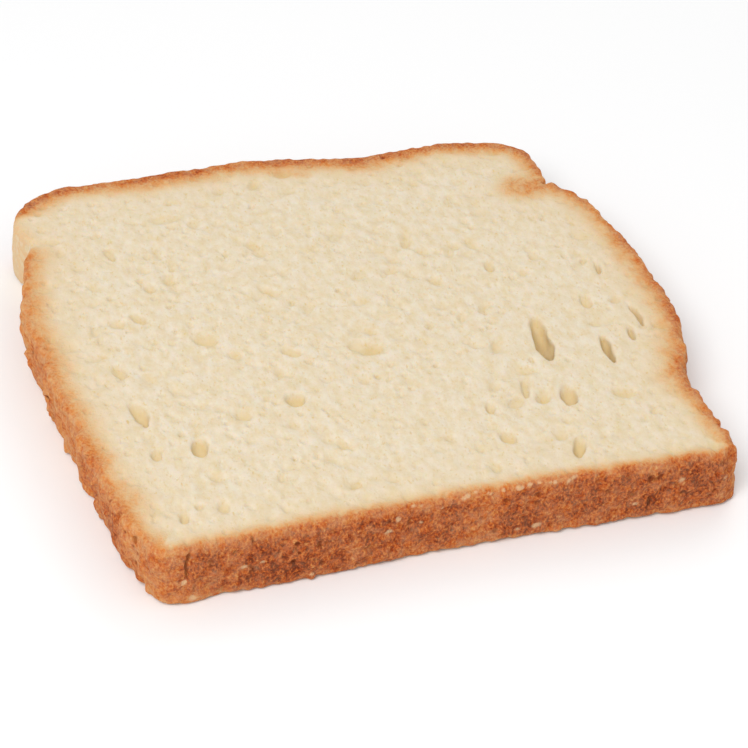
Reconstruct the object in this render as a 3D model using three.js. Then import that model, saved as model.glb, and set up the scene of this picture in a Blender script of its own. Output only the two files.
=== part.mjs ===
// One slice of a white tin loaf, lying flat on its cut face.
//
// Millimetres, +Z up. X runs along the straight crust from the tin's floor, Y from that crust to
// the domed top crust, and Z through the slice. The origin is under the middle of the slice, on
// the cut face that it lies on. The loaf rose over the tin's rim, so its top crust ends in a lobe
// at each side. Below the right lobe is a tight crease, and below the left one a shallow notch.

import * as THREE from "three";

// Driving dimensions
const sliceThickness = 13; // between the two cut faces
const bellyHalfWidth = 60; // middle of the slice to the widest point of each side wall
const baseHalfHeight = 56; // middle of the slice to the crust from the tin's floor
const domeHalfHeight = 56.6; // middle of the slice to the highest point of the top crust
const crustBulge = 0.4; // how far the crust swells out half way through the slice
const cutLean = 1.2; // the knife ran askew, so the lower cut face lies this far towards +X

// Left half of the outline
const leftBaseHalfWidth = 51;
const leftCornerRadius = 4;
const leftLobeHalfWidth = 55;
const leftNotchHeight = 39.8;
const leftNotchDepth = 1.6;
const leftLobeFlare = 1.7; // how far the lobe's lower edge hangs out past its upper edge

// Right half of the outline
const rightBaseHalfWidth = 50;
const rightCornerRadius = 4.2;
const rightWaistHalfWidth = 53.4;
const rightLobeHalfWidth = 52.2;
const rightCreaseHeight = 34.2;
const rightCreaseDepth = 5.6;
const rightCreaseDrop = 1.4; // from the crease's mouth down to its inner end
const rightCreaseWidth = 1.1;

// Mesh fineness
const pointsPerSpan = 4; // outline points between two of the curve's own points
const wallSteps = 4; // rows of faces through the thickness

const crumb = new THREE.MeshStandardMaterial({ color: 0xecdcc0, roughness: 0.9, metalness: 0 });

function toPoints(pairs) {
  return pairs.map(([x, y]) => new THREE.Vector2(x, y));
}

function addRightWall(outline) {
  outline.splineThru(toPoints([
    [rightWaistHalfWidth + 0.8, -baseHalfHeight + 10],
    [rightWaistHalfWidth, -38],
    [rightWaistHalfWidth + 0.7, -30.5],
    [57, -23.5],
    [59.4, -14],
    [bellyHalfWidth, -4],
    [bellyHalfWidth, 5],
    [59.1, 14],
    [57.8, 21.8],
    [55.8, 29.2],
    [rightLobeHalfWidth + 0.5, rightCreaseHeight - rightCreaseWidth / 2],
  ]));
}

function addRightCrease(outline) {
  outline.lineTo(rightLobeHalfWidth - rightCreaseDepth, rightCreaseHeight - rightCreaseDrop);
  outline.lineTo(rightLobeHalfWidth - 0.3, rightCreaseHeight + rightCreaseWidth / 2);
}

function addRightLobe(outline) {
  outline.splineThru(toPoints([
    [rightLobeHalfWidth, 40.5],
    [rightLobeHalfWidth - 0.6, 44.8],
    [rightLobeHalfWidth - 3, 48.4],
    [43.6, 51.2],
  ]));
}

function addTopCrust(outline) {
  const valley = domeHalfHeight - 4.6; // the crust sank a little between its two swellings
  outline.splineThru(toPoints([
    [35.2, valley + 0.6],
    [26.5, valley + 0.4],
    [17.7, valley],
    [5.8, domeHalfHeight - 2],
    [-6.4, domeHalfHeight],
    [-19, domeHalfHeight - 0.1],
    [-31.6, domeHalfHeight - 0.5],
    [-43.6, domeHalfHeight],
  ]));
}

function addLeftLobe(outline) {
  outline.splineThru(toPoints([
    [-leftLobeHalfWidth + 6.8, 55.2],
    [-leftLobeHalfWidth + 3.4, 52.6],
    [-leftLobeHalfWidth + 0.9, 49.5],
    [-leftLobeHalfWidth, 46.3],
    [-leftLobeHalfWidth + 0.4, leftNotchHeight + 3.2],
  ]));
}

function addLeftNotch(outline) {
  outline.lineTo(-leftLobeHalfWidth + leftNotchDepth, leftNotchHeight);
}

function addLeftWall(outline) {
  outline.splineThru(toPoints([
    [-leftLobeHalfWidth + 0.1, leftNotchHeight - 4.4],
    [-56.8, 31.5],
    [-58.7, 23.5],
    [-bellyHalfWidth, 14],
    [-59.8, 3],
    [-59.7, -7],
    [-59.1, -18],
    [-58.1, -30],
    [-57, -42],
    [-leftBaseHalfWidth - leftCornerRadius, -baseHalfHeight + leftCornerRadius + 1.5],
  ]));
}

function sliceOutline() {
  const outline = new THREE.Shape();
  outline.moveTo(-leftBaseHalfWidth, -baseHalfHeight + 0.3);
  outline.splineThru(toPoints([
    [-36, -baseHalfHeight + 0.6],
    [-14, -baseHalfHeight + 1],
    [12, -baseHalfHeight + 1],
    [32, -baseHalfHeight + 0.3],
    [rightBaseHalfWidth, -baseHalfHeight - 0.2],
  ]));
  outline.quadraticCurveTo(
    rightBaseHalfWidth + rightCornerRadius, -baseHalfHeight - 0.2,
    rightBaseHalfWidth + rightCornerRadius + 0.2, -baseHalfHeight + rightCornerRadius,
  );
  addRightWall(outline);
  addRightCrease(outline);
  addRightLobe(outline);
  addTopCrust(outline);
  addLeftLobe(outline);
  addLeftNotch(outline);
  addLeftWall(outline);
  outline.quadraticCurveTo(
    -leftBaseHalfWidth - leftCornerRadius + 0.6, -baseHalfHeight + 0.3,
    -leftBaseHalfWidth, -baseHalfHeight + 0.3,
  );
  return outline;
}

// 1 in the left lobe, falling to 0 where the notch and the lobe's root end it.
function shareInLeftLobe(x, y) {
  const aboveNotch = THREE.MathUtils.smoothstep(y, leftNotchHeight, leftNotchHeight + 4);
  const besideRoot = THREE.MathUtils.smoothstep(-x, leftLobeHalfWidth - 12, leftLobeHalfWidth - 4);
  return aboveNotch * besideRoot;
}

// Swells the crust by a parabola through the thickness, and slides the lower cut face askew.
// Both cut faces stay flat.
function shapeCrust(geometry) {
  const position = geometry.attributes.position;
  const flat = new THREE.Vector2();
  for (let i = 0; i < position.count; i += 1) {
    flat.set(position.getX(i), position.getY(i));
    const height = position.getZ(i) / sliceThickness;
    const flare = leftLobeFlare * shareInLeftLobe(flat.x, flat.y);
    const swell = crustBulge * 4 * height * (1 - height);
    flat.multiplyScalar(1 + swell / flat.length());
    flat.x += (cutLean - flare) * (1 - height);
    position.setXY(i, flat.x, flat.y);
  }
}

function breadSlice() {
  const geometry = new THREE.ExtrudeGeometry(sliceOutline(), {
    depth: sliceThickness,
    steps: wallSteps,
    curveSegments: pointsPerSpan,
    bevelEnabled: false,
  });
  shapeCrust(geometry);
  geometry.computeBoundingBox();
  const middle = geometry.boundingBox.getCenter(new THREE.Vector3());
  geometry.translate(-middle.x, -middle.y, 0);
  geometry.computeVertexNormals();
  const mesh = new THREE.Mesh(geometry, crumb);
  mesh.name = "bread_slice";
  return mesh;
}

const object = new THREE.Group();
object.add(breadSlice());

export default object;
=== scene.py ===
"""A slice of white tin loaf, lying flat on a pale floor.

The frame's one solid gives the slice's outline, thickness and place. Around it this script builds
the bread itself as one mesh with no open edges. A few of its edges join more than two faces, where
two thin skins touch. A distance field is cut out of the outline, eaten into by the crumb's pores and
the crust's pits, and meshed by a surface net. The crust's browning is stored on the mesh's points,
and one material reads it. Lengths are in millimetres until the mesh is made.
"""

import math

import bpy
import numpy as np
from mathutils import Matrix, Vector


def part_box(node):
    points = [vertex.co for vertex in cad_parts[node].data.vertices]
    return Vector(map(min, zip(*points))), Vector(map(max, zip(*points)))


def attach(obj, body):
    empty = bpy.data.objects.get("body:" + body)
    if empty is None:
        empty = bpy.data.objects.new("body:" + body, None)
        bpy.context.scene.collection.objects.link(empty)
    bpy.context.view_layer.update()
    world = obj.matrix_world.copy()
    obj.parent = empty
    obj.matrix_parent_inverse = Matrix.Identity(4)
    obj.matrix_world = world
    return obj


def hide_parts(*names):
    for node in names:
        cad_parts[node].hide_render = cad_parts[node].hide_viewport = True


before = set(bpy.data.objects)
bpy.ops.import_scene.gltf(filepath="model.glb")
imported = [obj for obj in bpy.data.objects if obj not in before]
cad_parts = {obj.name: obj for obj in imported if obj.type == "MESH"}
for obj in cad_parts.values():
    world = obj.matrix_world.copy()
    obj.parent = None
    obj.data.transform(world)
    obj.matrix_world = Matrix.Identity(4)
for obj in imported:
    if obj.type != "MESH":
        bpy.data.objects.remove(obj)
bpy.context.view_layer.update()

MM = 0.001
NODE = "bread_slice"
GRID_STEP = 0.32  # side of the field's cells
MARGIN = 1.5  # empty space round the slice in the field

# ---------------------------------------------------------------------------------------------
# The slice's own features, in millimetres on its cut face: X along the base crust, Y towards the
# top crust, from the middle of the slice.

# Main holes of the upper face: x, y, length, width, the length's angle from X, depth, and how much
# deeper the end towards the base crust is, per millimetre.
UPPER_HOLES = [
    (31.2, -14.6, 15.5, 3.0, 82, 3.4, 0.36),
    (42.0, -21.4, 7.2, 1.5, 84, 2.6, 0.2),
    (51.3, -12.9, 6.2, 0.7, 92, 1.5, 0.1),
    (48.1, -18.7, 3.0, 1.1, 82, 1.4, 0.2),
    (29.7, -32.9, 7.0, 2.9, 80, 1.9, 0.36),
    (25.2, -32.3, 3.8, 2.6, 66, 1.0, 0.3),
    (26.1, -47.4, 5.0, 2.0, 64, 1.7, 0.32),
    (19.6, -32.7, 2.8, 2.4, 10, 0.8, 0.2),
    (22.9, -28.8, 5.4, 1.4, 74, 0.9, 0.15),
    (14.4, -41.8, 3.6, 2.2, 108, 1.0, 0.2),
    (14.4, -32.8, 3.0, 1.5, 84, 0.8, 0.2),
    (40.0, -35.2, 3.8, 2.4, 160, 0.9, 0.2),
    (43.5, -6.5, 3.2, 1.9, 84, 0.7, 0.2),
    (49.8, 2.7, 3.0, 0.9, 78, 1.1, 0.1),
    (48.0, 5.6, 1.6, 0.9, 70, 0.8, 0.1),
    (29.4, 9.0, 3.2, 1.8, 86, 1.1, 0.25),
    (17.9, 6.9, 2.9, 2.0, 112, 0.8, 0.2),
    (-1.8, -9.4, 5.6, 3.4, 150, 0.9, 0.12),
    (-0.8, -11.0, 3.6, 2.2, 10, 0.9, 0.2),
    (-18.9, -21.3, 3.6, 3.2, 90, 1.3, 0.3),
    (-15.6, -7.6, 3.6, 2.2, 130, 0.7, 0.15),
    (-30.1, 0.6, 4.8, 3.0, 134, 0.8, 0.15),
    (-26.0, -5.7, 3.0, 1.8, 120, 0.7, 0.15),
    (-47.2, -17.7, 6.4, 2.6, 97, 1.5, 0.25),
    (-47.7, -4.9, 3.8, 1.7, 104, 1.0, 0.2),
    (-39.3, -30.0, 4.8, 2.8, 84, 1.6, 0.3),
    (-47.1, -29.9, 3.0, 1.6, 80, 0.9, 0.2),
    (-46.8, -47.7, 2.8, 1.6, 84, 0.9, 0.2),
    (-39.6, -46.9, 3.0, 2.1, 96, 0.8, 0.2),
    (-40.3, 9.8, 3.0, 1.9, 108, 0.9, 0.2),
    (-35.9, 18.6, 2.6, 2.0, 98, 0.7, 0.2),
    (-40.3, 31.2, 3.8, 1.7, 100, 0.7, 0.1),
    (-14.4, 12.2, 3.2, 1.7, 120, 0.7, 0.15),
    (-14.9, -35.7, 2.8, 1.9, 116, 0.8, 0.2),
]

# The crease under the right lobe, from its mouth to its inner end. The dough closed on itself in
# it, and only its mouth stays open.
CREASE = (50.2, 34.4), (45.6, 32.7)
CREASE_CLOSED = (48.6, 33.8), (45.0, 32.5)
CREASE_SEAL = 1.5  # how far the closed part reaches to each side of its line

# The tear in the crumb that runs in from the left notch.
LEFT_TEAR = (-55.0, 38.9), (-49.5, 38.0)

# A brown streak in the crumb, just under the top crust.
TOP_STREAK = (-2.4, 50.4), (4.6, 48.0)

# Pale flakes that stick to the base crust: x, height, length, thickness.
BASE_FLAKES = [
    (-50.4, 7.2, 1.5, 0.9),
    (-49.0, 5.6, 1.3, 0.9),
    (-47.4, 1.6, 2.2, 1.1),
    (-38.5, 6.2, 1.2, 0.7),
    (-35.1, 6.4, 0.9, 0.6),
    (-26.2, 1.6, 0.8, 0.5),
    (-12.3, 7.8, 1.4, 0.8),
    (-10.6, 10.2, 1.0, 1.2),
    (-6.3, 8.4, 0.8, 0.5),
    (-2.4, 10.8, 1.2, 0.7),
    (9.3, 8.4, 1.4, 0.9),
    (11.8, 2.9, 1.8, 0.8),
    (15.6, 2.8, 2.2, 1.0),
    (34.1, 4.2, 0.9, 0.6),
    (43.0, 8.2, 1.3, 0.9),
    (51.4, 7.1, 0.9, 1.4),
]

# Cracks in the base crust: x, lowest and highest point.
BASE_CRACKS = [(-48.6, 6.6, 11.6), (-36.8, 10.6, 12.6), (37.2, 3.2, 6.0), (-8.0, 7.5, 9.6)]
CRACK_STEP = 0.4  # between the small cuts that make up a crack

# The stretch of the base crust's upper edge where crumbs are frayed over it: first x, end, spacing.
FRAYED = (-7, 24, 1.6)
FRAYED_HEIGHT = 12.5

# How many small openings are tried for, and the least and greatest radius of the crumb's.
DIMPLES = 620
DIMPLE_RADII = (0.45, 1.3)
SMALL_PORES = 1700
SMALL_PORE_RADII = (0.36, 0.6)
PITS = 5200


def smooth_step(value, low, high):
    t = np.clip((value - low) / (high - low), 0, 1)
    return t * t * (3 - 2 * t)


def smooth_most(a, b, rounding):
    """The larger of two distances, with the crease between them rounded."""
    blend = np.clip(0.5 + 0.5 * (a - b) / rounding, 0, 1)
    return b + (a - b) * blend + rounding * blend * (1 - blend)


# ---------------------------------------------------------------------------------------------
# Noise on the grid


def spline_rows(count, cell, shift):
    """Cubic B-spline weights that spread values a cell apart over count grid points."""
    at = np.arange(count) * GRID_STEP / cell + shift
    base = np.floor(at).astype(int)
    t = at - base
    weights = [
        (1 - t) ** 3 / 6,
        (3 * t**3 - 6 * t**2 + 4) / 6,
        (-3 * t**3 + 3 * t**2 + 3 * t + 1) / 6,
        t**3 / 6,
    ]
    rows = np.zeros((count, base.max() + 4), np.float32)
    for step, weight in enumerate(weights):
        rows[np.arange(count), base + step] = weight
    return rows


def grid_noise(shape, cells, seed):
    """Smooth noise over a grid of this shape, with a spread of about 1. cells gives the size of
    its lumps along each axis."""
    random = np.random.default_rng(seed)
    rows = [spline_rows(n, c, random.random()) for n, c in zip(shape, cells)]
    lumps = random.standard_normal([row.shape[1] for row in rows]).astype(np.float32)
    for axis, row in enumerate(rows):
        lumps = np.moveaxis(np.tensordot(row, lumps, axes=(1, axis)), 0, axis)
    return lumps / lumps.std()


# ---------------------------------------------------------------------------------------------
# The outline, from the frame's solid


def ring_links(node):
    """Height to point to its two neighbours, for the rings of points round the solid's wall."""
    mesh = node.data
    places = np.empty(len(mesh.vertices) * 3)
    mesh.vertices.foreach_get("co", places)
    places = places.reshape(-1, 3) / MM
    links = {}
    for face in mesh.polygons:
        if abs(face.normal.z) > 0.7:
            continue
        for a, b in face.edge_keys:
            if abs(places[a, 2] - places[b, 2]) > 0.01:
                continue
            ring = links.setdefault(round(float(places[a, 2]), 1), {})
            a, b = (tuple(np.round(places[i, :2], 3)) for i in (a, b))
            ring.setdefault(a, set()).add(b)
            ring.setdefault(b, set()).add(a)
    return links


def walk_ring(neighbours):
    """The ring's points in order, anticlockwise."""
    start = min(neighbours)
    ring, last, here = [start], None, start
    while True:
        onward = [point for point in neighbours[here] if point != last and point != here]
        last, here = here, onward[0]
        if here == start:
            break
        ring.append(here)
    ring = np.array(ring)
    ahead = np.roll(ring, -1, 0)
    area = (ring[:, 0] * ahead[:, 1] - ahead[:, 0] * ring[:, 1]).sum()
    return ring if area > 0 else ring[::-1]


def outline_distance(x, y, ring):
    """Distance from the ring, negative inside it, and the length along the ring to its nearest
    point, for a grid of places."""
    nearest = np.full(x.shape, 1e9)
    along = np.zeros(x.shape)
    inside = np.zeros(x.shape, bool)
    passed = 0.0
    for (ax, ay), (bx, by) in zip(ring, np.roll(ring, -1, 0)):
        dx, dy = bx - ax, by - ay
        length = math.hypot(dx, dy)
        share = np.clip(((x - ax) * dx + (y - ay) * dy) / length**2, 0, 1)
        away = np.hypot(x - ax - share * dx, y - ay - share * dy)
        closer = away < nearest
        nearest[closer] = away[closer]
        along[closer] = (passed + share * length)[closer]
        if dy != 0:
            crosses = ((ay > y) != (by > y)) & (x < ax + (y - ay) * dx / dy)
            inside ^= crosses
        passed += length
    return np.where(inside, -nearest, nearest), along


class Grid:
    """The field's grid, and what the frame says about the slice at each of its places."""

    def __init__(self):
        low, high = (np.array(corner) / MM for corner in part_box(NODE))
        self.thickness = high[2] - low[2]
        self.low = low - MARGIN
        count = np.ceil((high - low + 2 * MARGIN) / GRID_STEP).astype(int) + 1
        self.shape = tuple(count)
        self.x, self.y, self.z = (self.low[i] + GRID_STEP * np.arange(count[i]) for i in range(3))
        links = ring_links(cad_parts[NODE])
        heights = sorted(links)
        rings = [walk_ring(links[height]) for height in heights]
        flat_x, flat_y = np.meshgrid(self.x, self.y, indexing="ij")
        fields = [outline_distance(flat_x, flat_y, ring) for ring in rings]
        middle = len(rings) // 2
        self.ring = rings[middle]
        self.flat_distance = fields[middle][0]
        self.ring_length = np.hypot(*(np.roll(self.ring, -1, 0) - self.ring).T).sum()
        self.wall = self.between_rings([field[0] for field in fields], heights)
        nudge = np.gradient(self.flat_distance, GRID_STEP)
        size = np.maximum(np.hypot(*nudge), 1e-6)
        self.out_x, self.out_y = nudge[0] / size, nudge[1] / size
        self.flat_x, self.flat_y = flat_x, flat_y
        closed = line_distance(flat_x, flat_y, *CREASE_CLOSED) - CREASE_SEAL
        self.wall = -smooth_most(-self.wall, -closed[:, :, None], 0.8)

    def between_rings(self, distances, heights):
        """Distance from the wall in the whole grid, from its values at the rings' heights."""
        wall = np.empty(self.shape, np.float32)
        for k, z in enumerate(self.z):
            upper = int(np.clip(np.searchsorted(heights, z), 1, len(heights) - 1))
            low, high = heights[upper - 1], heights[upper]
            share = np.clip((z - low) / (high - low), 0, 1)
            wall[:, :, k] = distances[upper - 1] * (1 - share) + distances[upper] * share
        return wall

    def window(self, centre, reach):
        """The slices of the grid within reach of a point, and their places relative to it."""
        first = np.floor((np.array(centre) - reach - self.low) / GRID_STEP).astype(int)
        last = np.ceil((np.array(centre) + reach - self.low) / GRID_STEP).astype(int) + 1
        first = np.clip(first, 0, np.array(self.shape) - 1)
        last = np.clip(last, 1, self.shape)
        part = tuple(slice(a, b) for a, b in zip(first, last))
        x, y, z = self.x[part[0]], self.y[part[1]], self.z[part[2]]
        return part, x[:, None, None] - centre[0], y[None, :, None] - centre[1], z - centre[2]

    def at(self, field, places):
        """A field's value at places anywhere between the grid's points."""
        spot = (places - self.low[: places.shape[1]]) / GRID_STEP
        base = np.clip(np.floor(spot).astype(int), 0, np.array(field.shape) - 2)
        t = spot - base
        total = np.zeros(len(places))
        for corner in np.ndindex(*(2,) * places.shape[1]):
            weight = np.prod(np.where(corner, t, 1 - t), axis=1)
            total += weight * field[tuple((base + corner).T)]
        return total


# ---------------------------------------------------------------------------------------------
# Where the crust is, and how brown


class Sides:
    """Weights, from 0 to 1, that say which stretch of crust a place belongs to."""

    def __init__(self, grid):
        x, y, out_y = grid.flat_x, grid.flat_y, grid.out_y
        self.base = smooth_step(-out_y, 0.5, 0.9) * smooth_step(-y, 30, 44)
        self.top = smooth_step(out_y, 0.1, 0.95) * smooth_step(y, 38, 47)
        left_lobe = smooth_step(-x, 42, 50) * smooth_step(y, 34, 39)
        self.left_lobe = left_lobe * (1 - self.top)
        elsewhere = (1 - self.base) * (1 - self.top)
        self.left = smooth_step(-x, 0, 10) * elsewhere * (1 - self.left_lobe)
        self.right = smooth_step(x, 0, 10) * elsewhere
        self.left_foot = self.left * smooth_step(-y, 0, 36)
        self.left_corner = smooth_step(-x, 42, 53) * smooth_step(-y, 44, 53)
        self.right_lobe = self.right * smooth_step(y, 30, 35)
        self.crease = smooth_step(2.6 - line_distance(x, y, *CREASE), 0, 1.6)
        self.notch = smooth_step(2.2 - line_distance(x, y, *LEFT_TEAR), 0, 1.6)


def line_distance(x, y, start, end):
    run = np.array(end) - start
    share = np.clip(((x - start[0]) * run[0] + (y - start[1]) * run[1]) / (run @ run), 0, 1)
    return np.hypot(x - start[0] - share * run[0], y - start[1] - share * run[1])


def browning(sides):
    """For each stretch of crust: how brown its skin is, how deep that goes, where the last gold
    colour ends, how steeply it fades, and how much paler the skin is beside the cut faces."""
    sides_share = sides.left + sides.right
    brown = 0.70 * sides.base + 0.80 * sides.top + 0.12 * sides.left_lobe
    brown += (0.48 + 0.16 * sides.left_foot) * sides.left + 0.59 * sides.right
    brown *= 1 - 0.35 * sides.crease - 0.5 * sides.notch - 0.14 * sides.left_corner
    solid = 0.5 * sides.base + 1.7 * sides.top + 0.4 * sides.left_lobe + 0.9 * sides_share
    reach = 6.2 * sides.base + 8.6 * sides.top + 3.2 * sides.left_lobe + 7.8 * sides_share
    reach -= 3.0 * sides.crease
    steep = 3.6 * sides.base + 2.2 * sides.top + 1.8 * sides.left_lobe + 1.9 * sides_share
    paler = 0.20 * sides.base + 0.32 * sides.top + 0.14 * sides_share
    return np.clip(brown, 0, 1), solid, np.maximum(reach, solid + 0.5), steep, paler


# ---------------------------------------------------------------------------------------------
# The field


def hole_places(grid, random, count, radii, keep_off, taken):
    """Random holes as x, y, radius, clear of the crust and of those already there."""
    placed = []
    for place in random.uniform(grid.low[:2], -grid.low[:2], (count, 2)):
        radius = radii[0] + (radii[1] - radii[0]) * random.random() ** 2
        from_crust = -grid.at(grid.flat_distance, place[None])[0]
        if from_crust < radius + keep_off:
            continue
        if taken and min(math.dist(place, t[:2]) - t[2] for t in taken) < radius * 1.15:
            continue
        placed.append((place[0], place[1], radius))
        taken.append(placed[-1])
    return placed


def carve(field, grid, warp, centre, radii, angle, lean, rounding):
    """Takes an egg shape out of the field. radii run along, across and up, angle turns it in XY,
    and lean raises it towards +Y."""
    part, x, y, z = grid.window(centre, max(radii) + 3 * GRID_STEP)
    x = x + warp[0][part]
    y = y + warp[1][part]
    z = z + warp[2][part] - lean * y
    cos, sin = math.cos(angle), math.sin(angle)
    along, across = x * cos + y * sin, y * cos - x * sin
    size = np.sqrt((along / radii[0]) ** 2 + (across / radii[1]) ** 2 + (z / radii[2]) ** 2)
    distance = (size - 1) * min(radii)
    field[part] = smooth_most(field[part], -distance, rounding)


def stick_on(field, grid, warp, centre, radii, turn):
    """Adds a lump to the field. radii run along the wall, out of it and up."""
    part, x, y, z = grid.window(centre, max(radii) + 3 * GRID_STEP)
    x = x + 2.4 * warp[0][part]
    y = y + 0.6 * warp[1][part]
    z = z + 2.4 * warp[2][part]
    cos, sin = math.cos(turn), math.sin(turn)
    along, up = x * cos + z * sin, z * cos - x * sin
    size = np.sqrt((along / radii[0]) ** 2 + (y / radii[1]) ** 2 + (up / radii[2]) ** 2)
    field[part] = np.minimum(field[part], (size - 1) * min(radii))


def softened(field):
    """The field with what is thinner than its cells blurred away."""
    for axis in range(3):
        field = np.moveaxis(field, axis, 0)
        field[1:-1] = (field[:-2] + 4 * field[1:-1] + field[2:]) / 6
        field = np.moveaxis(field, 0, axis)
    return field


def rough_wall(grid, sides):
    """The wall's distance field with the crust's ridges and lumps on it."""
    broad = grid_noise(grid.shape, (9, 9, 14), seed=11)
    lobes = 0.8 - np.abs(grid_noise(grid.shape, (3.6, 3.6, 12), seed=15))
    lumps = grid_noise(grid.shape, (2.3, 2.3, 2.8), seed=12)
    ridges = np.abs(grid_noise(grid.shape, (1.5, 1.5, 7), seed=13)) - 0.8
    grains = grid_noise(grid.shape, (0.8, 0.8, 0.8), seed=14)
    ridged = (1.0 * sides.left + 0.55 * sides.right + 0.2 * sides.base)[:, :, None]
    relief = 0.08 * broad + 0.13 * lumps + ridged * (0.45 * ridges + 0.35 * lobes) + 0.19 * grains
    calm = (1 - 0.7 * sides.left_lobe - 0.3 * sides.top - 0.3 * sides.right_lobe)[:, :, None]
    crease = sides.crease[:, :, None]
    out = (0.35 * sides.top + 0.3 * sides.right + 0.2 * sides.left_lobe)[:, :, None]
    return grid.wall + 0.1 - out * (1 - crease) - 0.2 * crease + relief * calm * (1 - 0.8 * crease)


def cut_faces(grid):
    """The slab between the two cut faces, with the knife's faint waviness and torn grain."""
    half = grid.thickness / 2
    slab = np.abs(grid.z - half) - half
    waves = grid_noise(grid.shape[:2] + (1,), (13, 13, 1), seed=21)
    hollows = grid_noise(grid.shape, (2.6, 4.6, 3.2), seed=22)
    tears = grid_noise(grid.shape, (1.0, 1.9, 1.3), seed=23)
    grains = grid_noise(grid.shape, (0.7, 1.1, 0.7), seed=24)
    sunk = 0.12 + 0.05 * waves + 0.03 * hollows + 0.022 * tears + 0.05 * grains
    return slab[None, None, :] + sunk


def add_main_holes(field, grid, warp):
    """The large pores that make this slice's upper face its own."""
    taken = []
    for x, y, length, width, angle, depth, lean in UPPER_HOLES:
        radii = (length * 0.64, width / 2 + 0.12, depth)
        centre = (x, y - 0.04 * length, grid.thickness - 0.25)
        carve(field, grid, warp, centre, radii, math.radians(angle), lean, 0.45)
        taken.append((x, y, length / 2))
    (from_x, from_y), (to_x, to_y) = LEFT_TEAR
    middle = ((from_x + to_x) / 2, (from_y + to_y) / 2, grid.thickness)
    carve(field, grid, warp, middle, (4.2, 0.9, 0.9), math.atan2(to_y - from_y, to_x - from_x), 0, 0.5)
    return taken


def add_pores(field, grid, warp, sides, level, side, taken):
    """Soft dimples and small pores, scattered over one cut face."""
    random = np.random.default_rng(31 + side)
    dimples = hole_places(grid, random, DIMPLES, DIMPLE_RADII, 1.6, taken)
    small = hole_places(grid, random, SMALL_PORES, SMALL_PORE_RADII, 0.8, taken)
    for holes, depth, rounding in ((dimples, 0.5, 0.6), (small, 0.9, 0.3)):
        for x, y, radius in holes:
            near_top = grid.at(sides.top, np.array([[x, y]]))[0]
            angle = math.radians(90 + random.normal(0, 28) + 90 * (near_top > 0.5))
            stretch = random.uniform(1.0, 1.8)
            radii = (radius * stretch, radius, radius * depth * random.uniform(0.7, 1.3))
            centre = (x, y, level + side * (0.12 + 0.08 * radius))
            carve(field, grid, warp, centre, radii, angle, random.uniform(0, 0.3), rounding)


def add_pits(field, grid, warp, sides):
    """Small burst bubbles all round the crust's skin."""
    random = np.random.default_rng(41)
    steps = np.hypot(*(np.roll(grid.ring, -1, 0) - grid.ring).T)
    reached = np.concatenate([[0], np.cumsum(steps)])
    closed = np.vstack([grid.ring, grid.ring[:1]])
    for _ in range(PITS):
        along = random.uniform(0, reached[-1])
        x, y = (np.interp(along, reached, closed[:, i]) for i in range(2))
        place = np.array([[x, y]])
        often = 0.95 * grid.at(sides.base, place)[0] + 0.4 * grid.at(sides.top, place)[0]
        often += 0.35 * (grid.at(sides.left, place)[0] + grid.at(sides.right, place)[0])
        radius = 0.25 + 0.24 * random.random() ** 2
        z = random.uniform(0.3, grid.thickness - 0.3)
        radii = (radius * random.uniform(0.8, 1.6), radius * random.uniform(0.9, 1.5), radius)
        angle = math.atan2(*(grid.at(out, place)[0] for out in (grid.out_x, grid.out_y)))
        if random.random() > often:
            continue
        carve(field, grid, warp, (x, y, z), radii, -angle, 0, 0.12)


def add_base_marks(field, grid, warp):
    """Cracks and stuck flakes on the base crust."""
    random = np.random.default_rng(51)
    for x, low, high in BASE_CRACKS:
        for z in np.arange(low, high, CRACK_STEP):
            drift = 0.2 * math.sin(1.3 * z)
            centre = (x + drift, skin_y(grid, x), z)
            carve(field, grid, warp, centre, (0.26, 0.75, 0.4), 0, 0, 0.1)
    for x, z, length, thickness in BASE_FLAKES + frayed_crumbs():
        centre = (x, skin_y(grid, x) - 0.05, z)
        radii = (0.45 * length, 0.30, 0.40 * thickness)
        stick_on(field, grid, warp, centre, radii, random.uniform(-0.6, 0.6))


def frayed_crumbs():
    """Flakes of crumb that the knife pulled over the base crust's upper edge."""
    random = np.random.default_rng(52)
    flakes = []
    for x in np.arange(*FRAYED):
        length = random.uniform(0.4, 1.4)
        thickness = random.uniform(0.3, 0.6)
        z = FRAYED_HEIGHT + random.uniform(-0.8, 0.2)
        flakes.append((x + random.uniform(-0.9, 0.9), z, length, thickness))
    return flakes


def skin_y(grid, x):
    """Where the base crust's skin is at this x."""
    i = int(np.argmin(np.abs(grid.x - x)))
    inside = np.flatnonzero(grid.flat_distance[i] < 0)
    return grid.y[inside[0]] + 0.25


def fill_bubbles(field, outside):
    """Fills the bubbles that no opening reaches, so that the mesh has one skin."""
    air = field >= 0
    reached = outside & air
    while True:
        grown = reached.copy()
        for axis in range(3):
            forward = [slice(None)] * 3
            back = [slice(None)] * 3
            forward[axis], back[axis] = slice(1, None), slice(None, -1)
            grown[tuple(forward)] |= reached[tuple(back)]
            grown[tuple(back)] |= reached[tuple(forward)]
        grown &= air
        if (grown == reached).all():
            break
        reached = grown
    field[air & ~reached] = -0.05


# ---------------------------------------------------------------------------------------------
# The surface net


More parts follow.
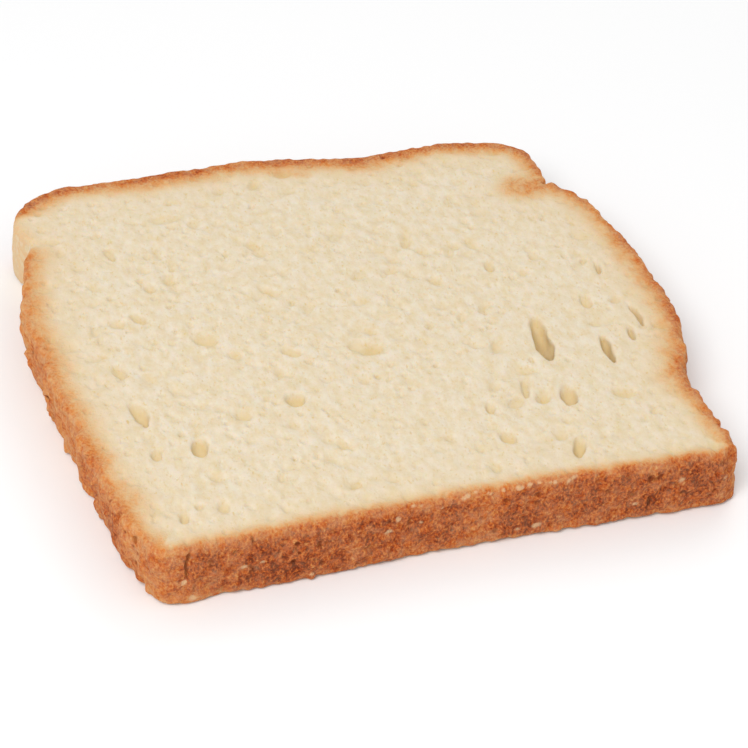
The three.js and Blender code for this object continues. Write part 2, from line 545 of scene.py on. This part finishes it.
def surface_net(field, low):
    """The skin of the field's negative part: points, and faces of four points each."""
    inside = field < 0
    count = np.zeros([n - 1 for n in field.shape], np.uint8)
    corners = list(np.ndindex(2, 2, 2))
    views = {c: tuple(slice(d, n - 1 + d) for d, n in zip(c, field.shape)) for c in corners}
    for corner in corners:
        count += inside[views[corner]]
    cells = np.argwhere((count > 0) & (count < 8))
    number = np.full(count.shape, -1, np.int32)
    number[tuple(cells.T)] = np.arange(len(cells))
    total = np.zeros((len(cells), 3))
    crossings = np.zeros(len(cells))
    for a in corners:
        for axis in range(3):
            if a[axis]:
                continue
            b = tuple(1 if i == axis else a[i] for i in range(3))
            value_a = field[tuple((cells + a).T)]
            value_b = field[tuple((cells + b).T)]
            crossed = (value_a < 0) != (value_b < 0)
            share = np.where(crossed, value_a / np.where(crossed, value_a - value_b, 1), 0)
            spot = np.array(a) + share[:, None] * (np.array(b) - np.array(a))
            total += np.where(crossed[:, None], spot, 0)
            crossings += crossed
    points = low + GRID_STEP * (cells + total / crossings[:, None])
    return points, net_faces(inside, number)


def net_faces(inside, number):
    """One face for each grid edge that the skin crosses, with its corners facing outwards."""
    faces = []
    for axis in range(3):
        near, far = [slice(None)] * 3, [slice(None)] * 3
        near[axis], far[axis] = slice(None, -1), slice(1, None)
        leaving = inside[tuple(near)] & ~inside[tuple(far)]
        entering = ~inside[tuple(near)] & inside[tuple(far)]
        side_a, side_b = [i for i in range(3) if i != axis]
        for crossed, outward in ((leaving, True), (entering, False)):
            spots = np.argwhere(crossed)
            ring = []
            for step_a, step_b in ((0, 0), (1, 0), (1, 1), (0, 1)):
                cell = spots.copy()
                cell[:, side_a] -= 1 - step_a
                cell[:, side_b] -= 1 - step_b
                ring.append(number[tuple(cell.T)])
            ring = np.stack(ring, 1)
            faces.append(ring if outward == (axis != 1) else ring[:, ::-1])
    return np.concatenate(faces)


def mesh_of(name, points, faces):
    """A smooth-shaded Blender mesh of four-cornered faces, from points in millimetres."""
    mesh = bpy.data.meshes.new(name)
    mesh.vertices.add(len(points))
    mesh.vertices.foreach_set("co", (points * MM).astype(np.float32).ravel())
    mesh.loops.add(faces.size)
    mesh.loops.foreach_set("vertex_index", faces.astype(np.int32).ravel())
    mesh.polygons.add(len(faces))
    mesh.polygons.foreach_set("loop_start", np.arange(0, faces.size, 4, dtype=np.int32))
    mesh.update(calc_edges=True)
    mesh.validate()
    mesh.shade_smooth()
    return mesh


# ---------------------------------------------------------------------------------------------
# What the material reads from the mesh


def store(mesh, name, values):
    layer = mesh.attributes.new(name, "FLOAT", "POINT")
    layer.data.foreach_set("value", np.asarray(values, np.float32))


def paint(mesh, grid, points, sides, wall):
    """Stores the browning, the depth in a pore and in a pit of the crust, and the flakes on the mesh's
    points. The material turns the two depths into painted shade.
    """
    flat = points[:, :2]
    inward = 0.3 * np.maximum(-grid.at(wall, points), 0)
    inward += 0.7 * np.maximum(-grid.at(grid.wall, points), 0)
    depth = np.minimum(points[:, 2], grid.thickness - points[:, 2])
    brown, solid, reach, steep, paler = (grid.at(field, flat) for field in browning(sides))
    patchy = grid.at(grid_noise(grid.shape, (4, 4, 4), seed=61), points)
    fine = grid.at(grid_noise(grid.shape, (1.1, 1.1, 1.1), seed=62), points)
    reach = reach * (1 + 0.08 * patchy + 0.03 * fine)
    band = np.clip((reach - inward) / (reach - solid), 0, 1) ** np.maximum(steep, 1)
    edge = 1 - paler * (1 - smooth_step(depth, 0.2, 3.0))
    crust = brown * band * edge * (1 + 0.06 * patchy + 0.05 * fine)
    base = grid.at(sides.base, flat)
    crust += 0.075 * (1 - 0.5 * base) * np.clip(1 - inward / 15, 0, 1) * (inward > 0)
    folded = line_distance(*flat.T, *CREASE) + 0.25 * fine
    crust += 0.10 * smooth_step(1.7 - folded, 0, 1.7) * (depth < 1)
    streak = line_distance(*flat.T, *TOP_STREAK) + 0.3 * fine
    crust += 0.12 * smooth_step(1.6 - streak, 0, 1.6) * (depth < 1)
    # Painted shade: how far a point lies sunk in a pit of the crust's skin, which the material darkens.
    pit_shade = smooth_step(-grid.at(wall, points), 0.22, 0.55) * smooth_step(depth, 0.9, 1.8)
    ragged = grid.at(grid_noise(grid.shape, (0.7, 0.7, 0.7), seed=63), points)
    flake = np.zeros(len(points))
    for x, z, length, thickness in BASE_FLAKES + frayed_crumbs():
        centre = np.array([x, skin_y(grid, x) - 0.05, z])
        away = (points - centre) / (length / 2 + 0.12, 0.75, thickness / 2 + 0.12)
        near = 1.0 - np.linalg.norm(away, axis=1) + 0.28 * ragged
        flake = np.maximum(flake, 0.85 * smooth_step(near, 0, 0.5))
    store(mesh, "crust", np.clip(crust, 0, 1))
    store(mesh, "pit_shade", pit_shade)
    # How deep a point lies in a pore; the material paints shade with it.
    store(mesh, "pore", depth * smooth_step(inward, 1, 2.5))
    store(mesh, "flake", flake)
    return inward, depth


UPPER_SCALE = 0.0052  # share of the texture's width for each millimetre of the upper face
LOWER_SCALE = 0.0029
STRIP_SCALE = 0.0060
STRIPS = 3
STRIP_START = 0.62  # where the first strip begins up the texture
STRIP_GAP = 0.11


def lay_out(mesh, grid, points, faces, inward, depth):
    """The mesh's texture map: both cut faces seen flat, and the crust in three strips."""
    middle = points[faces].mean(1)
    on_wall = inward[faces].mean(1) < np.minimum(depth[faces].mean(1), 1.6)
    upper = ~on_wall & (middle[:, 2] > grid.thickness / 2)
    low = grid.low[:2] + MARGIN / 2  # the crust swells out past the frame's own box
    flat = points[faces][:, :, :2] - low
    places = flat * LOWER_SCALE + (1 - LOWER_SCALE * 2 * -low[0], 0)
    places[upper] = flat[upper] * UPPER_SCALE
    walled = np.unique(faces[on_wall])
    around = np.zeros(len(points))
    around[walled] = outline_distance(*points[walled, :2].T, grid.ring)[1]
    around = around[faces[on_wall]]
    length = grid.ring_length
    centre = around[:, :1]
    around = centre + (around - centre + length / 2) % length - length / 2
    strip = np.clip(centre // (length / STRIPS), 0, STRIPS - 1)
    across = (around - strip * length / STRIPS) * STRIP_SCALE + 0.02
    up = points[faces[on_wall]][:, :, 2] * STRIP_SCALE + STRIP_START + strip * STRIP_GAP
    places[on_wall] = np.stack([across, up], 2)
    layer = mesh.uv_layers.new(name="OFBake")
    layer.data.foreach_set("uv", places.astype(np.float32).ravel())


# ---------------------------------------------------------------------------------------------
# The slice


def build_slice():
    grid = Grid()
    sides = Sides(grid)
    wall = rough_wall(grid, sides)
    rim = (1.3 - 0.5 * (sides.top + sides.right_lobe))[:, :, None]
    field = smooth_most(wall, cut_faces(grid), rim).astype(np.float32)
    outside = field > 0
    warp = [0.13 * grid_noise(grid.shape, (1.3, 1.3, 1.3), seed=71 + i) for i in range(3)]
    taken = add_main_holes(field, grid, warp)
    add_pores(field, grid, warp, sides, grid.thickness, -1, taken)
    add_pores(field, grid, warp, sides, 0.0, 1, [])
    add_pits(field, grid, warp, sides)
    add_base_marks(field, grid, warp)
    fill_bubbles(field, outside)
    field = softened(field)
    points, faces = surface_net(field, grid.low)
    points[:, 2] = np.maximum(points[:, 2], 0)
    mesh = mesh_of("sliced_bread", points, faces)
    inward, depth = paint(mesh, grid, points, sides, wall)
    lay_out(mesh, grid, points, faces, inward, depth)
    piece = bpy.data.objects.new("sliced_bread", mesh)
    bpy.context.scene.collection.objects.link(piece)
    return piece


# ---------------------------------------------------------------------------------------------
# Materials


def new_material(name):
    material = bpy.data.materials.new(name)
    material.use_nodes = True
    nodes = material.node_tree.nodes
    return material, nodes, material.node_tree.links, nodes["Principled BSDF"]


def attribute(nodes, name):
    node = nodes.new("ShaderNodeAttribute")
    node.attribute_name = name
    return node.outputs["Fac"]


def ramp(nodes, links, value, stops):
    node = nodes.new("ShaderNodeValToRGB")
    elements = node.color_ramp.elements
    while len(elements) < len(stops):
        elements.new(0.5)
    for element, (place, colour) in zip(elements, stops):
        element.position = place
        element.color = (*colour, 1)
    links.new(value, node.inputs["Fac"])
    return node.outputs["Color"]


def noise(nodes, links, place, scale, detail=3.0, roughness=0.5):
    node = nodes.new("ShaderNodeTexNoise")
    node.inputs["Scale"].default_value = scale
    node.inputs["Detail"].default_value = detail
    node.inputs["Roughness"].default_value = roughness
    links.new(place, node.inputs["Vector"])
    return node.outputs["Fac"]


def maths(nodes, links, operation, a, b, clamp=False):
    node = nodes.new("ShaderNodeMath")
    node.operation = operation
    node.use_clamp = clamp
    for socket, value in zip(node.inputs, (a, b)):
        if isinstance(value, (int, float)):
            socket.default_value = value
        else:
            links.new(value, socket)
    return node.outputs[0]


def mix(nodes, links, share, a, b):
    node = nodes.new("ShaderNodeMix")
    node.data_type = "RGBA"
    for socket, value in ((node.inputs["Factor"], share), (node.inputs["A"], a), (node.inputs["B"], b)):
        if isinstance(value, (int, float)):
            socket.default_value = value
        elif isinstance(value, tuple):
            socket.default_value = (*value, 1)
        else:
            links.new(value, socket)
    return node.outputs["Result"]


# Noise scales, in lumps per metre
FINE_GRAIN = 2000
STREAK_GRAIN = 1300
BLOTCH_GRAIN = 560
NICK_GRAIN = 1900

RELIEF_HEIGHT = 0.8 * MM
SCATTER_DEPTH = 1.2 * MM  # how far light spreads inside the bread

CRUMB = (0.735, 0.645, 0.505)
CRUMB_WARM = (0.665, 0.53, 0.315)
# Painted shade: the tan darkening of the pores' hollows and of the crumb's small nicks.
PORE_SHADE = (0.67, 0.50, 0.24)
FLAKE = (0.73, 0.47, 0.26)
# Painted shade, nearly black brown, laid into the crust's pits.
PIT_SHADE = (0.17, 0.036, 0.010)
CRUST_STOPS = [
    (0.0, CRUMB),
    (0.12, (0.72, 0.55, 0.36)),
    (0.24, (0.705, 0.425, 0.21)),
    (0.36, (0.69, 0.325, 0.112)),
    (0.50, (0.635, 0.220, 0.052)),
    (0.64, (0.56, 0.135, 0.024)),
    (0.80, (0.41, 0.074, 0.014)),
    (1.0, (0.19, 0.036, 0.010)),
]


def stretched(nodes, links, place, scale):
    node = nodes.new("ShaderNodeMapping")
    node.inputs["Scale"].default_value = scale
    links.new(place, node.inputs["Vector"])
    return node.outputs["Vector"]


def crust_colour(nodes, links, place, crust, grain):
    """The crust's colour from its browning, with lighter and darker grains and streaks. The grains are
    darker where the bump dips and lighter where it rises: partly the crust's uneven browning, partly
    painted shade and painted highlight.
    """
    streaks = noise(nodes, links, stretched(nodes, links, place, (1, 1, 0.3)), STREAK_GRAIN, 3, 0.6)
    streaks = maths(nodes, links, "SUBTRACT", streaks, 0.5)
    # Partly painted shade and highlight: the grain darkens the crust in the bump's dips and lightens it
    # on its rises.
    grain = maths(nodes, links, "SUBTRACT", 0.5, grain)
    grain = maths(nodes, links, "MULTIPLY", grain, crust)
    grain = maths(nodes, links, "MULTIPLY", grain, 2.6)
    uneven = maths(nodes, links, "ADD", grain, maths(nodes, links, "MULTIPLY", streaks, 0.5))
    uneven = maths(nodes, links, "MULTIPLY", uneven, crust)
    shade = maths(nodes, links, "ADD", crust, uneven, True)
    return ramp(nodes, links, shade, CRUST_STOPS)


def crumb_colour(nodes, links, place, crust, colour):
    """The open crumb's warm blotches and small dark nicks, laid over the crust's colour. The nicks are
    painted shade of pores too small for the mesh. Also gives the nicks, for the relief."""
    open_crumb = maths(nodes, links, "SUBTRACT", 1.0, crust, True)
    blotch = noise(nodes, links, stretched(nodes, links, place, (1, 0.6, 1)), BLOTCH_GRAIN, 6, 0.72)
    warm = maths(nodes, links, "SUBTRACT", blotch, 0.38, True)
    warm = maths(nodes, links, "MULTIPLY", warm, 2.9, True)
    warm = maths(nodes, links, "MULTIPLY", warm, open_crumb)
    colour = mix(nodes, links, warm, colour, CRUMB_WARM)
    # Painted shade: small tan specks for pores too small for the mesh, also dipped in the bump.
    nicks = noise(nodes, links, stretched(nodes, links, place, (1, 0.55, 1)), NICK_GRAIN, 2, 0.5)
    nicks = maths(nodes, links, "SUBTRACT", nicks, 0.60, True)
    nicks = maths(nodes, links, "MULTIPLY", nicks, 5.0, True)
    nicks = maths(nodes, links, "MULTIPLY", nicks, open_crumb)
    return mix(nodes, links, nicks, colour, PORE_SHADE), nicks


def shade_and_flake_colour(nodes, links, crust, colour):
    """Paints shade into the pores and the crust's pits, darker the deeper they go, and lays the pale
    flakes on top.
    """
    # Painted shade: the crumb turns tan and darker the deeper a point lies in a pore.
    deep = maths(nodes, links, "SUBTRACT", attribute(nodes, "pore"), 0.30, True)
    deep = maths(nodes, links, "MULTIPLY", deep, 0.75, True)
    colour = mix(nodes, links, deep, colour, PORE_SHADE)
    # Painted shade in the crust's pits.
    painted_pit_shade = maths(nodes, links, "MULTIPLY", attribute(nodes, "pit_shade"), crust)
    painted_pit_shade = maths(nodes, links, "MULTIPLY", painted_pit_shade, 0.8, True)
    colour = mix(nodes, links, painted_pit_shade, colour, PIT_SHADE)
    return mix(nodes, links, attribute(nodes, "flake"), colour, FLAKE)


def bread_relief(nodes, links, crust, grain, nicks):
    """The grain of the crust and the crumb's nicks, as a bump."""
    crusty = maths(nodes, links, "ADD", crust, 0.08)
    relief = maths(nodes, links, "MULTIPLY", grain, crusty)
    nicked = maths(nodes, links, "MULTIPLY", nicks, 0.08)
    relief = maths(nodes, links, "SUBTRACT", relief, nicked)
    bump = nodes.new("ShaderNodeBump")
    bump.inputs["Strength"].default_value = 1.0
    bump.inputs["Distance"].default_value = RELIEF_HEIGHT
    links.new(relief, bump.inputs["Height"])
    return bump.outputs["Normal"]


def bread_material():
    material, nodes, links, shader = new_material("baked_bread")
    place = nodes.new("ShaderNodeTexCoord").outputs["Object"]
    crust = attribute(nodes, "crust")
    # The same grain drives the crust's colour and its bump, so its colour is partly painted shade and
    # highlight.
    grain = noise(nodes, links, stretched(nodes, links, place, (1, 1, 0.8)), FINE_GRAIN, 3, 0.6)
    colour = crust_colour(nodes, links, place, crust, grain)
    colour, nicks = crumb_colour(nodes, links, place, crust, colour)
    colour = shade_and_flake_colour(nodes, links, crust, colour)
    links.new(colour, shader.inputs["Base Color"])
    shader.inputs["Roughness"].default_value = 0.85
    shader.inputs["Specular IOR Level"].default_value = 0.12
    shader.inputs["Subsurface Weight"].default_value = 0.3
    shader.inputs["Subsurface Radius"].default_value = (1.0, 0.6, 0.3)
    shader.inputs["Subsurface Scale"].default_value = SCATTER_DEPTH
    links.new(bread_relief(nodes, links, crust, grain, nicks), shader.inputs["Normal"])
    return material


def floor_material():
    material, nodes, links, shader = new_material("pale_floor")
    place = nodes.new("ShaderNodeTexCoord").outputs["Object"]
    cloud = noise(nodes, links, place, 3, 2)
    colour = ramp(nodes, links, cloud, [(0.3, (0.91, 0.91, 0.91)), (0.7, (0.93, 0.93, 0.93))])
    links.new(colour, shader.inputs["Base Color"])
    shader.inputs["Roughness"].default_value = 0.9
    return material


# ---------------------------------------------------------------------------------------------
# Floor, light and camera


FLOOR_HALF = 4.0  # metres
FLOOR_DROP = 0.05 * MM  # keeps the floor just clear of the slice's lower face


def build_floor():
    half = FLOOR_HALF
    mesh = bpy.data.meshes.new("floor")
    corners = [(-half, -half, 0), (half, -half, 0), (half, half, 0), (-half, half, 0)]
    mesh.from_pydata(corners, [], [(0, 1, 2, 3)])
    floor = bpy.data.objects.new("floor", mesh)
    floor.location.z = -FLOOR_DROP
    bpy.context.scene.collection.objects.link(floor)
    mesh.materials.append(floor_material())


def aim(thing, target):
    thing.rotation_euler = (Vector(target) - thing.location).to_track_quat("-Z", "Y").to_euler()


def add_softbox(name, place, size, power):
    light = bpy.data.lights.new(name, "AREA")
    light.shape = "DISK"
    light.size = size
    light.energy = power
    box = bpy.data.objects.new(name, light)
    box.location = place
    bpy.context.scene.collection.objects.link(box)
    aim(box, (0, 0, 0))


def build_light():
    world = bpy.data.worlds.new("studio")
    world.use_nodes = True
    sky = world.node_tree.nodes["Background"]
    sky.inputs["Color"].default_value = (1, 1, 1, 1)
    sky.inputs["Strength"].default_value = 0.66
    bpy.context.scene.world = world
    add_softbox("key", (-0.42, -0.45, 0.72), 0.5, 5.0)
    add_softbox("rim", (0.45, 0.55, 0.6), 0.6, 1.2)


CAMERA_AZIMUTH = -20.1  # degrees, turned towards -X from straight in front of the base crust
CAMERA_HEIGHT = 37.5  # degrees above the floor
CAMERA_ROLL = 3.0
CAMERA_DISTANCE = 533.5 * MM
CAMERA_LENS = 134.35
CAMERA_SENSOR = 36
CAMERA_AIM = (2.9 * MM, -2.5 * MM, 0.0)


def build_camera():
    turn, lift, roll = (math.radians(a) for a in (CAMERA_AZIMUTH, CAMERA_HEIGHT, CAMERA_ROLL))
    back = Vector((math.sin(turn) * math.cos(lift), -math.cos(turn) * math.cos(lift), math.sin(lift)))
    right = Vector((math.cos(turn), math.sin(turn), 0))
    up = back.cross(right)
    rolled = right * math.cos(roll) + up * math.sin(roll), up * math.cos(roll) - right * math.sin(roll)
    data = bpy.data.cameras.new("camera")
    data.lens = CAMERA_LENS
    data.sensor_width = CAMERA_SENSOR
    data.clip_start = 0.01
    data.clip_end = 50
    camera = bpy.data.objects.new("camera", data)
    bpy.context.scene.collection.objects.link(camera)
    axes = Matrix((rolled[0], rolled[1], back)).transposed()
    camera.matrix_world = Matrix.Translation(Vector(CAMERA_AIM) + back * CAMERA_DISTANCE) @ axes.to_4x4()
    bpy.context.scene.camera = camera


bread = build_slice()
bread.data.materials.append(bread_material())
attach(bread, "root")
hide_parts(NODE)

build_floor()
build_light()
build_camera()
bpy.context.scene.view_settings.view_transform = "Standard"
